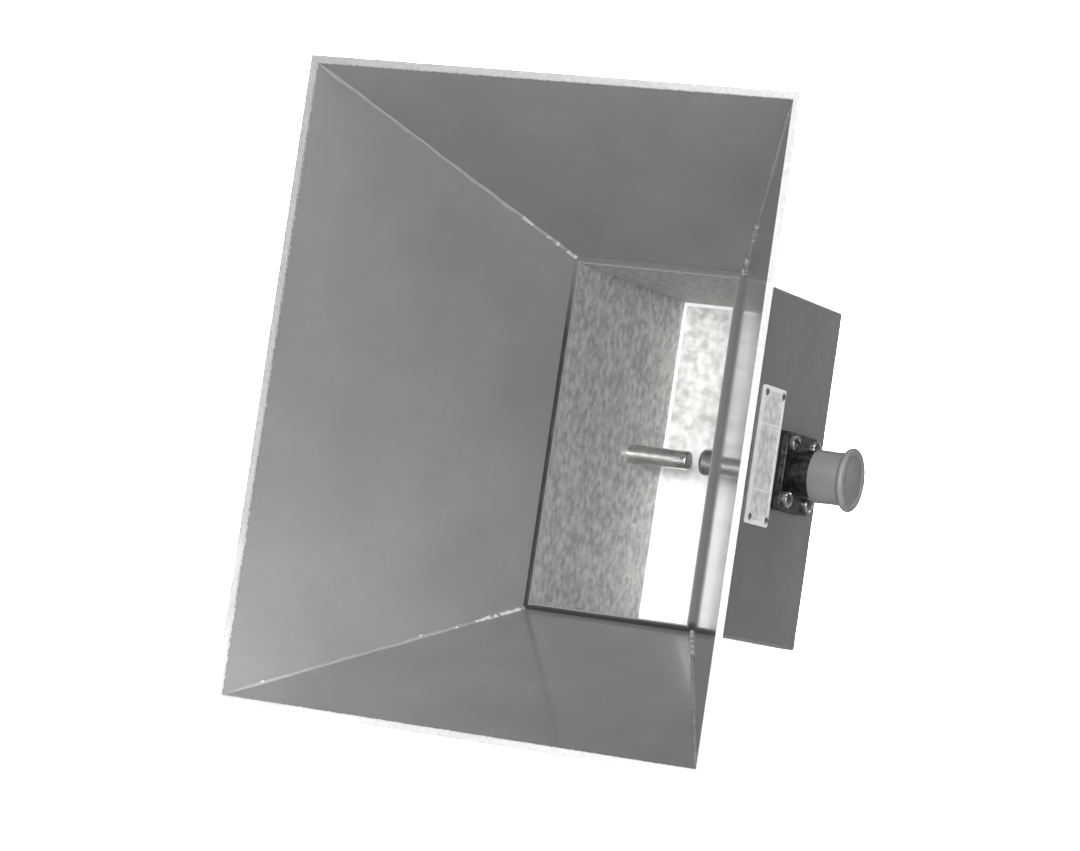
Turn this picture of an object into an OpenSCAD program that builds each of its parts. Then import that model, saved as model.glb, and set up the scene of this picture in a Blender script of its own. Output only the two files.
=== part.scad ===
// Pyramidal horn antenna on a rectangular waveguide stub with a coaxial feed.
// Millimetres. The origin is the centre of the guide's closed rear face:
// +X points to the connector side, +Y to the rear and +Z up; the horn looks along -Y.

/* [Waveguide] */
// Inner height of the guide, its broad side
guide_h = 109.22; // [100:0.01:120]
// Inner width of the guide, its narrow side
guide_w = 54.61; // [48:0.01:60]
// Wall thickness of the guide
guide_wall = 2.03; // [1.6:0.01:3.2]
// Depth of the guide from its open front end to the short
guide_depth = 86; // [78:0.5:110]
// Thickness of the plate that closes the rear end
short_t = 2.03; // [1.6:0.01:4]
// Radius on the outer edges of the guide
guide_edge_r = 1.5; // [0.5:0.1:1.6]

/* [Horn] */
// Inner height of the mouth
mouth_h = 193; // [170:1:220]
// Inner width of the mouth
mouth_w = 156; // [130:1:180]
// Length of the flare along the boresight
flare_len = 97; // [80:1:130]
// Thickness of the horn's sheet
sheet_t = 2.03; // [1.2:0.01:3]
// Length of the horn's lap over the guide
lap_len = 8; // [4:0.5:14]
// Radius of the brazed bead inside each corner
seam_r = 1.5; // [0.8:0.1:2.5]
// Leg of the brazed bead behind the lap
lap_bead = 1.6; // [0.8:0.1:2]

/* [Feed] */
// Distance of the feed axis from the inner face of the short
feed_back = 26; // [20:0.5:36]
// Diameter of the feed probe
probe_d = 9.5; // [6:0.1:12]
// Length of the feed probe, from its shoulder to its tip
probe_len = 27.6; // [20:0.1:30]
// Radius on the tip of the feed probe
probe_tip_r = 2; // [0.5:0.1:2.8]
// Diameter of the matching post
post_d = 6.35; // [4.8:0.05:8]
// Length of the matching post inside the guide
post_len = 21.3; // [12:0.1:24]
// Chamfer on the tip of the matching post
post_tip = 0.5; // [0.2:0.1:1]

/* [Coaxial jack] */
// Side of the jack's square flange
flange_w = 25.4; // [24:0.1:28]
// Thickness of the jack's flange
flange_t = 2.4; // [1.6:0.1:3.2]
// Corner radius of the flange and its gasket
flange_r = 1.2; // [0.5:0.1:2]
// Spacing of the flange screws
screw_pitch = 18.26; // [17:0.01:19]
// Thickness of the gasket under the flange
gasket_t = 1.2; // [0.5:0.1:2]
// Distance from the flange's seat to the mouth of the jack
jack_len = 19.8; // [18:0.1:21]
// Outer diameter of the jack's thread
thread_d = 15.88; // [15:0.01:17]
// Length of the jack's thread
thread_len = 10.8; // [8:0.1:12]
// Diameter of the jack's neck behind the thread
neck_d = 14.2; // [12.5:0.1:15]
// Diameter of the bore at the mouth of the jack
jack_bore = 8.1; // [7.5:0.1:9]
// Depth of the bore at the mouth of the jack
jack_bore_depth = 9; // [6:0.1:11]
// Diameter of the insulator
insulator_d = 7; // [6:0.1:7.4]
// Height of the insulator inside the guide
insulator_step = 1; // [0.5:0.1:2]
// Diameter of the centre contact
contact_d = 3.05; // [2.5:0.05:3.5]
// Diameter of the hole down the centre contact
contact_bore = 1.7; // [1.2:0.1:2]

/* [Dust cap] */
// Wall thickness of the cap
cap_wall = 0.6; // [0.5:0.1:1.2]
// Thickness of the cap's closed end
cap_end_t = 1.6; // [1:0.1:2.5]
// Depth of thread that the cap covers
cap_grip = 11.2; // [8:0.1:12]
// Diameter of the cap's flared rim
cap_rim_d = 21; // [19.5:0.1:24]
// Thickness of the cap's flared rim
cap_rim_t = 2.8; // [2:0.1:3.5]

/* [Data plate] */
// Width of the data plate
plate_w = 18.4; // [14:0.1:22]
// Height of the data plate
plate_h = 44.5; // [36:0.5:52]
// Thickness of the data plate
plate_t = 0.8; // [0.5:0.1:1.2]
// Height of the plate's middle above the feed axis
plate_rise = 3; // [-4:0.5:6]
// Diameter of the drive pins' heads
pin_head_d = 2.4; // [2:0.1:3]

/* [Fasteners] */
// Shank diameter of the flange screws
screw_d = 2.8; // [2:0.1:3]
// Head diameter of the flange screws
screw_head_d = 5.4; // [4.6:0.1:5.8]
// Head height of the flange screws
screw_head_h = 1.8; // [1.2:0.1:2.4]
// Thickness of every lock washer
washer_t = 0.7; // [0.5:0.1:1]
// Shank diameter of the screw that holds the matching post
post_screw_d = 3.5; // [3:0.1:4]
// Head diameter of the screw that holds the matching post
post_screw_head_d = 6.8; // [6:0.1:8]
// Length of that screw inside the post
post_screw_reach = 9; // [5:0.5:12]

/* [Hidden] */

// Tones of the finishes
painted_grey = [0.46, 0.46, 0.46];
bare_metal = [0.78, 0.78, 0.77];
seam_metal = [0.70, 0.70, 0.69];
plate_metal = [0.88, 0.88, 0.86];
dark_rubber = [0.10, 0.10, 0.10];
nickel = [0.55, 0.54, 0.50];
ptfe_white = [0.93, 0.93, 0.91];
gold = [0.80, 0.66, 0.32];
steel = [0.70, 0.70, 0.70];
cap_grey = [0.52, 0.52, 0.52];

// Clearances and small details
fit_gap = 0.05;        // a shank or spigot in its hole, on the radius
cap_gap = 0.15;        // the cap over the thread, on the radius
cap_end_gap = 0.3;     // the cap's end in front of the jack's mouth
plate_gap = 0.5;       // the data plate beside the flange
mouth_chamfer = 0.7;   // lead-in at the mouth of the jack
thread_chamfer = 0.6;  // first turn of the thread
contact_setback = 2.2; // the contact's tip behind the jack's mouth
contact_slot = 0.35;   // slots that let the contact spring
contact_slot_depth = 4;
stem_d = 1.9;          // the probe's stem inside the insulator
stem_reach = 3;        // its reach into the centre contact
pin_d = 1.5;           // shank of a drive pin
pin_depth = 1.2;       // its reach into the guide's wall
pin_head_h = 0.7;
pin_edge = 2.2;        // drive pin from the plate's edges
plate_r = 1;           // corner radius of the data plate
slot_w = 0.8;          // screwdriver slot
slot_depth = 0.9;
washer_split = 0.5;
cap_dish = 0.5;        // the cap's hollow outer face
cap_dish_rim = 2.2;
eps = 0.01;
round_fn = 64;
small_fn = 40;

// Planes across the boresight
y_short = -short_t;
y_throat = y_short - guide_depth;
y_mouth = y_throat - flare_len;
y_lap = y_throat + lap_len;
y_feed = y_short - feed_back;

// Half sizes of the guide
half_w = guide_w / 2;
half_h = guide_h / 2;
out_w = half_w + guide_wall;
out_h = half_h + guide_wall;

// Steps out from the guide's wall on the connector side
x_seat = out_w + gasket_t;
x_flange = x_seat + flange_t;
x_jack = x_seat + jack_len;
x_cap_mouth = x_jack - cap_grip;
x_cap_end = x_jack + cap_end_gap + cap_end_t;
x_insulator = half_w - insulator_step;
cap_bore = thread_d + 2 * cap_gap;
cap_d = cap_bore + 2 * cap_wall;
screw_len = flange_t + gasket_t + guide_wall + washer_t;
y_plate = y_feed - flange_w / 2 - plate_gap - plate_w / 2;

// Slope of a horn wall whose inner face runs from half size m at the mouth to t at the throat
function flare_angle(m, t) = atan((m - t) / flare_len);
// Half size of the outer face at the mouth
function outer_mouth(m, t) = m + sheet_t / cos(flare_angle(m, t));
// Where the outer faces of flare and lap meet
function y_outer_bend(m, t) = y_throat + sheet_t * tan(flare_angle(m, t) / 2);
// Corners of the horn's inner and outer faces, as [y, half size]
function inner_line(m, t) = [[y_mouth, m], [y_throat, t], [y_lap, t]];
function outer_line(m, t) = [
    [y_mouth, outer_mouth(m, t)],
    [y_outer_bend(m, t), t + sheet_t],
    [y_lap, t + sheet_t]
];
function reversed(list) = [for (i = [len(list) - 1:-1:0]) list[i]];
function mirrored(list) = [for (p = list) [p[0], -p[1]]];

// One wall in section: a flat flare bent once into a lap
module wall_section(m, t) {
    polygon(concat(inner_line(m, t), reversed(outer_line(m, t))));
}

// The whole horn in section, up to the inner or the outer faces
module horn_section(line) {
    polygon(concat(line, reversed(mirrored(line))));
}

// A section drawn as [y, z] and pushed out on both sides of x = 0
module across_x(width) {
    rotate([90, 0, 90])
        linear_extrude(width, center = true) children();
}

// A section drawn as [y, x] and pushed out on both sides of z = 0
module across_z(height) {
    mirror([1, -1, 0])
        linear_extrude(height, center = true) children();
}

// A section drawn as [x, z] and pushed from y = 0 towards -Y
module along_boresight(length) {
    rotate([90, 0, 0])
        linear_extrude(length) children();
}

// Turns what stands on z = 0 so that it points along +X from the feed axis
module on_feed_axis(x) {
    translate([x, y_feed, 0])
        rotate([0, 90, 0]) children();
}

module rounded_rect(size, r) {
    union() {
        square([size[0] - 2 * r, size[1]], center = true);
        square([size[0], size[1] - 2 * r], center = true);
        for (i = [-1, 1], j = [-1, 1])
            translate([i * (size[0] / 2 - r), j * (size[1] / 2 - r)])
                circle(r, $fn = small_fn);
    }
}

// Half of a guide-sized outline from y = -length to 0 with rounded rear corners
module rear_rounded(half, length, r) {
    union() {
        translate([-length, -half])
            square([length - r, 2 * half]);
        translate([-length, -half + r])
            square([length, 2 * (half - r)]);
        for (j = [-1, 1])
            translate([-r, j * (half - r)])
                circle(r, $fn = small_fn);
    }
}

// ---- Horn ----

// Top and bottom walls lie between the side walls
module horn_wall_level(side) {
    mirror([0, 0, side < 0 ? 1 : 0])
        intersection() {
            across_x(4 * mouth_w) wall_section(mouth_h / 2, out_h);
            across_z(4 * mouth_h) horn_section(inner_line(mouth_w / 2, out_w));
        }
}

// Side walls run the full height and cover the edges of the top and bottom walls
module horn_wall_upright(side) {
    mirror([side < 0 ? 1 : 0, 0, 0])
        intersection() {
            across_z(4 * mouth_h) wall_section(mouth_w / 2, out_w);
            across_x(4 * mouth_w) horn_section(outer_line(mouth_h / 2, out_h));
        }
}

module horn_wall_top() {
    color(painted_grey) horn_wall_level(1);
}

module horn_wall_bottom() {
    color(painted_grey) horn_wall_level(-1);
}

module horn_wall_left() {
    color(painted_grey) horn_wall_upright(-1);
}

module horn_wall_right() {
    color(painted_grey) horn_wall_upright(1);
}

// A round bead centred on one inner corner, kept to the inside of the flare
module corner_seam() {
    rise = mouth_h / 2 - out_h;
    run = mouth_w / 2 - out_w;
    edge = norm([run, flare_len, rise]);
    intersection() {
        translate([out_w, y_throat, out_h])
            rotate([0, acos(rise / edge), atan2(-flare_len, run)])
                translate([0, 0, -edge / 4])
                    cylinder(h = 1.5 * edge, r = seam_r, $fn = small_fn);
        across_x(4 * mouth_w)
            polygon([[y_mouth, 0], [y_mouth, mouth_h / 2], [y_throat, out_h], [y_throat, 0]]);
        across_z(4 * mouth_h)
            polygon([[y_mouth, 0], [y_mouth, mouth_w / 2], [y_throat, out_w], [y_throat, 0]]);
    }
}

module corner_seams() {
    color(seam_metal)
        for (i = [0, 1], j = [0, 1])
            mirror([i, 0, 0]) mirror([0, 0, j]) corner_seam();
}

// The bead that seals the rear edge of the lap against the guide
module lap_seam() {
    color(seam_metal)
        difference() {
            intersection() {
                across_x(4 * mouth_w)
                    lap_bead_section(out_h);
                across_z(4 * mouth_h)
                    lap_bead_section(out_w);
            }
            translate([0, y_lap + 2 * lap_bead, 0])
                along_boresight(4 * lap_bead)
                    rounded_rect([2 * out_w, 2 * out_h], guide_edge_r);
        }
}

// Outline of the bead: as high as the sheet at the lap, down to nothing behind it
module lap_bead_section(half) {
    high = half + min(sheet_t, lap_bead);
    polygon([
        [y_lap, -high], [y_lap, high],
        [y_lap + lap_bead, half], [y_lap + lap_bead, -half]
    ]);
}

// ---- Waveguide ----

module waveguide_tube() {
    length = guide_depth + short_t;
    color(bare_metal)
        difference() {
            intersection() {
                along_boresight(length)
                    rounded_rect([2 * out_w, 2 * out_h], guide_edge_r);
                across_x(4 * out_w) rear_rounded(out_h, length, guide_edge_r);
                across_z(4 * out_h) rear_rounded(out_w, length, guide_edge_r);
            }
            translate([0, eps, 0])
                along_boresight(length + 2 * eps)
                    square([guide_w, guide_h], center = true);
            feed_hole();
            flange_holes(screw_d / 2 + fit_gap, half_w - eps, out_w + eps);
            post_hole();
            plate_pin_holes(out_w - pin_depth, out_w + eps);
        }
}

module feed_hole() {
    on_feed_axis(half_w - eps)
        cylinder(h = guide_wall + 2 * eps, r = insulator_d / 2 + fit_gap, $fn = round_fn);
}

module post_hole() {
    translate([-out_w - eps, y_feed, 0])
        rotate([0, 90, 0])
            cylinder(h = guide_wall + 2 * eps, r = post_screw_d / 2 + fit_gap, $fn = small_fn);
}

// Four holes on the flange's pattern between two planes
module flange_holes(r, x0, x1) {
    on_flange_corners(x0)
        cylinder(h = x1 - x0, r = r, $fn = small_fn);
}

module on_flange_corners(x) {
    for (i = [-1, 1], j = [-1, 1])
        translate([x, y_feed + i * screw_pitch / 2, j * screw_pitch / 2])
            rotate([0, 90, 0]) children();
}

module short_plate() {
    color(bare_metal)
        along_boresight(short_t)
            square([guide_w, guide_h], center = true);
}

// ---- Data plate ----

module on_plate_corners(x) {
    for (i = [-1, 1], j = [-1, 1])
        translate([
            x,
            y_plate + i * (plate_w / 2 - pin_edge),
            plate_rise + j * (plate_h / 2 - pin_edge)
        ])
            rotate([0, 90, 0]) children();
}

module plate_pin_holes(x0, x1) {
    on_plate_corners(x0)
        cylinder(h = x1 - x0, r = pin_d / 2 + fit_gap, $fn = small_fn);
}

module data_plate() {
    color(plate_metal)
        difference() {
            translate([out_w, y_plate, plate_rise])
                rotate([90, 0, 90])
                    linear_extrude(plate_t) rounded_rect([plate_w, plate_h], plate_r);
            plate_pin_holes(out_w - eps, out_w + plate_t + eps);
        }
}

// Domed heads on plain shanks
module plate_pins() {
    color(steel)
        on_plate_corners(out_w - pin_depth) {
            cylinder(h = pin_depth + plate_t, r = pin_d / 2, $fn = small_fn);
            translate([0, 0, pin_depth + plate_t])
                dome(pin_head_d / 2, pin_head_h);
        }
}

// A spherical cap of the given base radius and height
module dome(r, h) {
    ball = (r * r + h * h) / (2 * h);
    rotate_extrude($fn = small_fn)
        intersection() {
            translate([0, h - ball]) circle(ball, $fn = round_fn);
            square([r, h]);
        }
}

// ---- Coaxial jack ----

module jack_gasket() {
    color(dark_rubber)
        difference() {
            on_feed_axis(out_w)
                linear_extrude(gasket_t) rounded_rect([flange_w, flange_w], flange_r);
            on_feed_axis(out_w - eps)
                cylinder(h = gasket_t + 2 * eps, r = insulator_d / 2 + fit_gap, $fn = round_fn);
            flange_holes(screw_d / 2 + fit_gap, out_w - eps, x_seat + eps);
        }
}

module jack_body() {
    color(nickel)
        difference() {
            union() {
                on_feed_axis(x_seat)
                    linear_extrude(flange_t) rounded_rect([flange_w, flange_w], flange_r);
                on_feed_axis(x_seat)
                    rotate_extrude($fn = round_fn)
                        polygon([
                            [0, 0], [neck_d / 2, 0],
                            [neck_d / 2, jack_len - thread_len],
                            [thread_d / 2, jack_len - thread_len],
                            [thread_d / 2, jack_len - thread_chamfer],
                            [thread_d / 2 - thread_chamfer, jack_len],
                            [0, jack_len]
                        ]);
            }
            on_feed_axis(x_seat - eps)
                cylinder(h = jack_len, r = insulator_d / 2 + fit_gap, $fn = round_fn);
            on_feed_axis(x_jack - jack_bore_depth)
                cylinder(h = jack_bore_depth + eps, r = jack_bore / 2, $fn = round_fn);
            on_feed_axis(x_jack - mouth_chamfer)
                cylinder(
                    h = mouth_chamfer + eps,
                    r1 = jack_bore / 2,
                    r2 = jack_bore / 2 + mouth_chamfer + eps,
                    $fn = round_fn
                );
            flange_holes(screw_d / 2 + fit_gap, x_seat - eps, x_flange + eps);
        }
}

module jack_insulator() {
    color(ptfe_white)
        difference() {
            on_feed_axis(x_insulator)
                cylinder(
                    h = x_jack - jack_bore_depth - x_insulator,
                    r = insulator_d / 2,
                    $fn = round_fn
                );
            on_feed_axis(x_insulator - eps)
                cylinder(h = jack_len, r = stem_d / 2 + fit_gap, $fn = small_fn);
            on_feed_axis(x_seat)
                cylinder(h = jack_len, r = contact_d / 2 + fit_gap, $fn = small_fn);
        }
}

// A slotted socket that starts level with the flange's seat
module jack_contact() {
    tip = jack_len - contact_setback;
    color(gold)
        on_feed_axis(x_seat)
            difference() {
                cylinder(h = tip, r = contact_d / 2, $fn = small_fn);
                translate([0, 0, tip - jack_bore_depth])
                    cylinder(h = jack_bore_depth + eps, r = contact_bore / 2, $fn = small_fn);
                translate([0, 0, -eps])
                    cylinder(h = stem_reach + eps, r = stem_d / 2 + fit_gap, $fn = small_fn);
                for (a = [0, 90])
                    rotate([0, 0, a])
                        translate([-contact_d, -contact_slot / 2, tip - contact_slot_depth])
                            cube([2 * contact_d, contact_slot, contact_slot_depth + eps]);
            }
}

// Pan head with a screwdriver slot; the shank runs the other way from z = 0
module pan_screw(d, length, head_d, head_h) {
    union() {
        translate([0, 0, -length])
            cylinder(h = length, r = d / 2, $fn = small_fn);
        difference() {
            dome(head_d / 2, head_h);
            translate([-head_d, -slot_w / 2, head_h - slot_depth])
                cube([2 * head_d, slot_w, slot_depth + eps]);
        }
    }
}

// Split ring standing on z = 0
module lock_washer(inner_r, outer_r) {
    difference() {
        cylinder(h = washer_t, r = outer_r, $fn = small_fn);
        translate([0, 0, -eps])
            cylinder(h = washer_t + 2 * eps, r = inner_r, $fn = small_fn);
        translate([0, -washer_split / 2, -eps])
            cube([2 * outer_r, washer_split, washer_t + 2 * eps]);
    }
}

module jack_screws() {
    color(steel)
        on_flange_corners(x_flange + washer_t)
            rotate([0, 0, 30])
                pan_screw(screw_d, screw_len, screw_head_d, screw_head_h);
}

module jack_washers() {
    color(steel)
        on_flange_corners(x_flange)
            lock_washer(screw_d / 2 + fit_gap, screw_head_d / 2 - fit_gap);
}

// ---- Dust cap ----

// A push-on cup with a flared grip round its closed end
module dust_cap() {
    length = x_cap_end - x_cap_mouth;
    rim_r = cap_rim_t / 2;
    rim_z = length - rim_r;
    color(cap_grey)
        on_feed_axis(x_cap_mouth)
            rotate_extrude($fn = round_fn)
                difference() {
                    union() {
                        square([cap_d / 2, length - cap_rim_t / 4]);
                        translate([0, length - cap_rim_t])
                            square([cap_rim_d / 2 - rim_r, cap_rim_t]);
                        translate([cap_rim_d / 2 - rim_r, rim_z])
                            circle(rim_r, $fn = small_fn);
                        cap_flare(cap_d / 2, length - cap_rim_t);
                    }
                    translate([-cap_d, -cap_d])
                        square([cap_d, 3 * cap_d]);
                    translate([0, -eps])
                        square([cap_bore / 2, length - cap_end_t + eps]);
                    translate([0, length - cap_dish])
                        square([cap_rim_d / 2 - cap_dish_rim, cap_dish + eps]);
                }
}

// Concave sweep from the cap's barrel out to its rim
module cap_flare(r, z) {
    sweep = (cap_rim_d / 2 - cap_rim_t / 2) - r;
    difference() {
        translate([0, z - sweep])
            square([r + sweep, sweep + eps]);
        translate([r + sweep, z - sweep])
            circle(sweep, $fn = small_fn);
    }
}

// ---- Feed ----

module feed_probe() {
    stem = x_seat + stem_reach - x_insulator;
    color(nickel)
        translate([x_insulator, y_feed, 0]) {
            rotate([0, 90, 0])
                cylinder(h = stem, r = stem_d / 2, $fn = small_fn);
            rotate([0, -90, 0])
                rotate_extrude($fn = round_fn)
                    round_ended(probe_d / 2, probe_len, probe_tip_r);
        }
}

// Half outline of a rod with a rounded end
module round_ended(r, length, tip_r) {
    union() {
        square([r, length - tip_r]);
        square([r - tip_r, length]);
        intersection() {
            translate([r - tip_r, length - tip_r])
                circle(tip_r, $fn = small_fn);
            square([r, length]);
        }
    }
}

// Round rod that stands on the inner face of the guide, opposite the probe
module tuning_post() {
    color(bare_metal)
        translate([-half_w, y_feed, 0])
            rotate([0, 90, 0])
                difference() {
                    rotate_extrude($fn = round_fn)
                        polygon([
                            [0, 0], [post_d / 2, 0],
                            [post_d / 2, post_len - post_tip],
                            [post_d / 2 - post_tip, post_len],
                            [0, post_len]
                        ]);
                    translate([0, 0, -eps])
                        cylinder(
                            h = post_screw_reach + 1,
                            r = post_screw_d / 2 + fit_gap,
                            $fn = small_fn
                        );
                }
}

module post_screw() {
    color(steel)
        translate([-out_w - washer_t, y_feed, 0])
            rotate([0, -90, 0])
                pan_screw(
                    post_screw_d,
                    guide_wall + washer_t + post_screw_reach,
                    post_screw_head_d,
                    screw_head_h
                );
}

module post_washer() {
    color(steel)
        translate([-out_w, y_feed, 0])
            rotate([0, -90, 0])
                lock_washer(post_screw_d / 2 + fit_gap, post_screw_head_d / 2 - fit_gap);
}

horn_wall_top();
horn_wall_bottom();
horn_wall_left();
horn_wall_right();
corner_seams();
lap_seam();
waveguide_tube();
short_plate();
data_plate();
plate_pins();
jack_gasket();
jack_body();
jack_insulator();
jack_contact();
jack_screws();
jack_washers();
dust_cap();
feed_probe();
tuning_post();
post_screw();
post_washer();
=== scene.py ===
"""Finishes and fine pieces for a pyramidal horn antenna in enamelled sheet.

Metres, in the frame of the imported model: +X towards the jack, +Y to the rear, +Z up.
The horn's walls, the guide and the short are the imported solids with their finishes.
The beads, the jack, its cap and screws, the probe and the plate are surfaces made here.
"""

import math

import bmesh
import bpy
import numpy as np
from mathutils import Matrix, Vector


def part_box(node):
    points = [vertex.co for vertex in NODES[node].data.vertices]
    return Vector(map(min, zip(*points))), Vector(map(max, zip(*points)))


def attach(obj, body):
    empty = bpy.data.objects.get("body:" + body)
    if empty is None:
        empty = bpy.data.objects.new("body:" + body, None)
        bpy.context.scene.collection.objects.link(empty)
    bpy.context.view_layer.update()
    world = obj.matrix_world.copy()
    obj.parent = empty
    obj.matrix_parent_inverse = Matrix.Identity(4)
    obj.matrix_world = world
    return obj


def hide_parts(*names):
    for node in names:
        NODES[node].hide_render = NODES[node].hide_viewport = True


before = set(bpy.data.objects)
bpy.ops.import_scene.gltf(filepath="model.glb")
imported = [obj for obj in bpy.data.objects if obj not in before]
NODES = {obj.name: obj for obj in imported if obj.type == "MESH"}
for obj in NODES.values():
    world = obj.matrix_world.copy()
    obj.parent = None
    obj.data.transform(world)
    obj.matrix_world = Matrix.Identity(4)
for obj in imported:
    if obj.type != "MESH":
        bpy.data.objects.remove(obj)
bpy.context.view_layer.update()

MM = 0.001
TURN = 2 * math.pi
SHARP_EDGE = math.radians(40)
MERGE_DISTANCE = 1e-6

# ---- Sizes that come from the frame ----

GUIDE_LOW, GUIDE_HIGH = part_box("waveguide_tube")
SHORT_LOW, SHORT_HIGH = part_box("short_plate")
WALL_LOW, WALL_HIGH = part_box("horn_wall_left")
TOP_LOW, TOP_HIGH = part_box("horn_wall_top")
JACK_LOW, JACK_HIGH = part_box("jack_body")
WASHER_LOW, WASHER_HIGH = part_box("jack_washers")
SCREW_LOW, SCREW_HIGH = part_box("jack_screws")
CAP_LOW, CAP_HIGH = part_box("dust_cap")
PLATE_LOW, PLATE_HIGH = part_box("data_plate")
PROBE_LOW, PROBE_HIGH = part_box("feed_probe")
POST_LOW, POST_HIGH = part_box("tuning_post")
REAR_LOW, REAR_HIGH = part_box("post_screw")

Y_MOUTH = WALL_LOW.y
Y_THROAT = GUIDE_LOW.y
Y_LAP = WALL_HIGH.y
Y_SHORT = SHORT_LOW.y
Y_FEED = (JACK_LOW.y + JACK_HIGH.y) / 2
X_SEAT = JACK_LOW.x
X_FLANGE = WASHER_LOW.x
X_JACK = JACK_HIGH.x
GUIDE_OUT = np.array([GUIDE_HIGH.x, GUIDE_HIGH.z])
GUIDE_IN = np.array([SHORT_HIGH.x, SHORT_HIGH.z])
SHEET = GUIDE_OUT[0] - GUIDE_IN[0]

# ---- Sizes of the fine pieces ----

FLARE = Y_THROAT - Y_MOUTH
MOUTH_OUT = np.array([-WALL_LOW.x, TOP_HIGH.z])
THREAD_LENGTH = 10.8 * MM
THREAD_PITCH = 1.058 * MM
THREAD_DEPTH = 0.55 * MM
THREAD_RADIUS = 7.94 * MM
NECK_RADIUS = 7.1 * MM
BORE_RADIUS = 4.05 * MM
BORE_DEPTH = 9.0 * MM
INSULATOR_HOLE = 3.55 * MM
CAP_BORE = 8.09 * MM
CAP_RADIUS = 8.69 * MM
CAP_END = 1.6 * MM
BEAD_SETBACK = 0.4 * MM
BEAD_STRAY = 0.2 * MM
RIPPLE_LENGTH = 2.6 * MM
FLANGE_EDGE = 0.35 * MM
FLANGE_HEAD = 2.7 * MM
FLANGE_SHANK = 1.4 * MM
REAR_HEAD = 1.8 * MM
REAR_SHANK = 1.75 * MM
SLOT_WIDTH = 0.8 * MM
SLOT_DEPTH = 0.85 * MM
PROBE_STEM = 0.95 * MM
PLATE_CORNER = 1.0 * MM


# ---- Mesh helpers ----


def mesh_piece(name, points, faces, material):
    """One closed mesh at the origin from an (n, 3) array of points and a list of faces.

    Points that coincide, as at the pole of a turned shape, are merged, and the faces are
    turned to point outwards. Edges sharper than SHARP_EDGE stay crisp.
    """
    mesh = bpy.data.meshes.new(name)
    mesh.from_pydata(np.asarray(points, float).tolist(), [], faces)
    shell = bmesh.new()
    shell.from_mesh(mesh)
    bmesh.ops.remove_doubles(shell, verts=shell.verts, dist=MERGE_DISTANCE)
    bmesh.ops.recalc_face_normals(shell, faces=shell.faces)
    shell.to_mesh(mesh)
    shell.free()
    mesh.polygons.foreach_set("use_smooth", [True] * len(mesh.polygons))
    mesh.set_sharp_from_angle(angle=SHARP_EDGE)
    mesh.materials.append(material)
    piece = bpy.data.objects.new(name, mesh)
    bpy.context.scene.collection.objects.link(piece)
    return piece


def grid_faces(rows, columns, wrap_rows=False, wrap_columns=False):
    """Four-sided faces of a grid whose point (r, c) has the index r * columns + c."""
    r = np.arange(rows if wrap_rows else rows - 1)
    c = np.arange(columns if wrap_columns else columns - 1)
    r, c = (a.ravel() for a in np.meshgrid(r, c, indexing="ij"))
    r1 = (r + 1) % rows
    c1 = (c + 1) % columns
    corners = [r * columns + c, r * columns + c1, r1 * columns + c1, r1 * columns + c]
    return np.stack(corners, 1).tolist()


def joined(parts):
    """Several (points, faces) pairs as one pair."""
    points, faces, first = [], [], 0
    for part_points, part_faces in parts:
        points.append(np.asarray(part_points, float))
        faces += [[i + first for i in face] for face in part_faces]
        first += len(part_points)
    return np.vstack(points), faces


def turned(profile, steps=96, centre=(Y_FEED, 0.0), shape=None, ring=False):
    """A profile of (x, r) turned about an axis along X.

    Point (i, k) lies at x_i along the axis and r_i from it, turned by 2 pi k / steps.
    shape(x, r, turn) may change both, as for a thread or a screwdriver slot. A ring's
    profile is a closed loop, and any other starts and ends on the axis.
    """
    x, r = np.array(profile, float).T
    turn = np.arange(steps) * TURN / steps
    xx, rr = (np.repeat(a[:, None], steps, 1) for a in (x, r))
    tt = np.repeat(turn[None, :], len(x), 0)
    if shape is not None:
        xx, rr = shape(xx, rr, tt)
    points = np.stack([xx, centre[0] + rr * np.cos(tt), centre[1] + rr * np.sin(tt)], -1)
    return points.reshape(-1, 3), grid_faces(len(x), steps, ring, True)


def arc(centre, radius, start, end, steps=8):
    """Points of an arc in the plane of a profile, from start to end in degrees."""
    a = np.radians(np.linspace(start, end, steps + 1))
    return np.stack([centre[0] + radius * np.cos(a), centre[1] + radius * np.sin(a)], 1)


def waves(seed, count, low, high):
    """A smooth function of one variable: a few sines with seeded paces and phases, -1 to 1."""
    rng = np.random.default_rng(seed)
    pace = rng.uniform(low, high, count)
    phase = rng.uniform(0, TURN, count)
    weight = rng.uniform(0.4, 1, count)

    def value(t):
        t = np.asarray(t, float)[..., None]
        return (weight * np.sin(pace * t + phase)).sum(-1) / weight.sum()

    return value


# ---- Materials ----


def linear(code):
    """An sRGB hex colour as linear RGBA."""
    values = [int(code[i : i + 2], 16) / 255 for i in (1, 3, 5)]
    return tuple(
        v / 12.92 if v <= 0.04045 else ((v + 0.055) / 1.055) ** 2.4 for v in values
    ) + (1.0,)


def add(tree, kind, inputs=None, **settings):
    """Adds a node with its settings. An input is a value, a socket, or a node's result.

    The result is the first output, or the colour of a node that mixes colours.
    """
    node = tree.nodes.new(kind)
    for key, value in settings.items():
        setattr(node, key, value)
    for key, value in (inputs or {}).items():
        if isinstance(value, bpy.types.Node):
            value = value.outputs[2 if getattr(value, "data_type", "") == "RGBA" else 0]
        if isinstance(value, bpy.types.NodeSocket):
            tree.links.new(value, node.inputs[key])
        else:
            node.inputs[key].default_value = value
    return node


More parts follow.
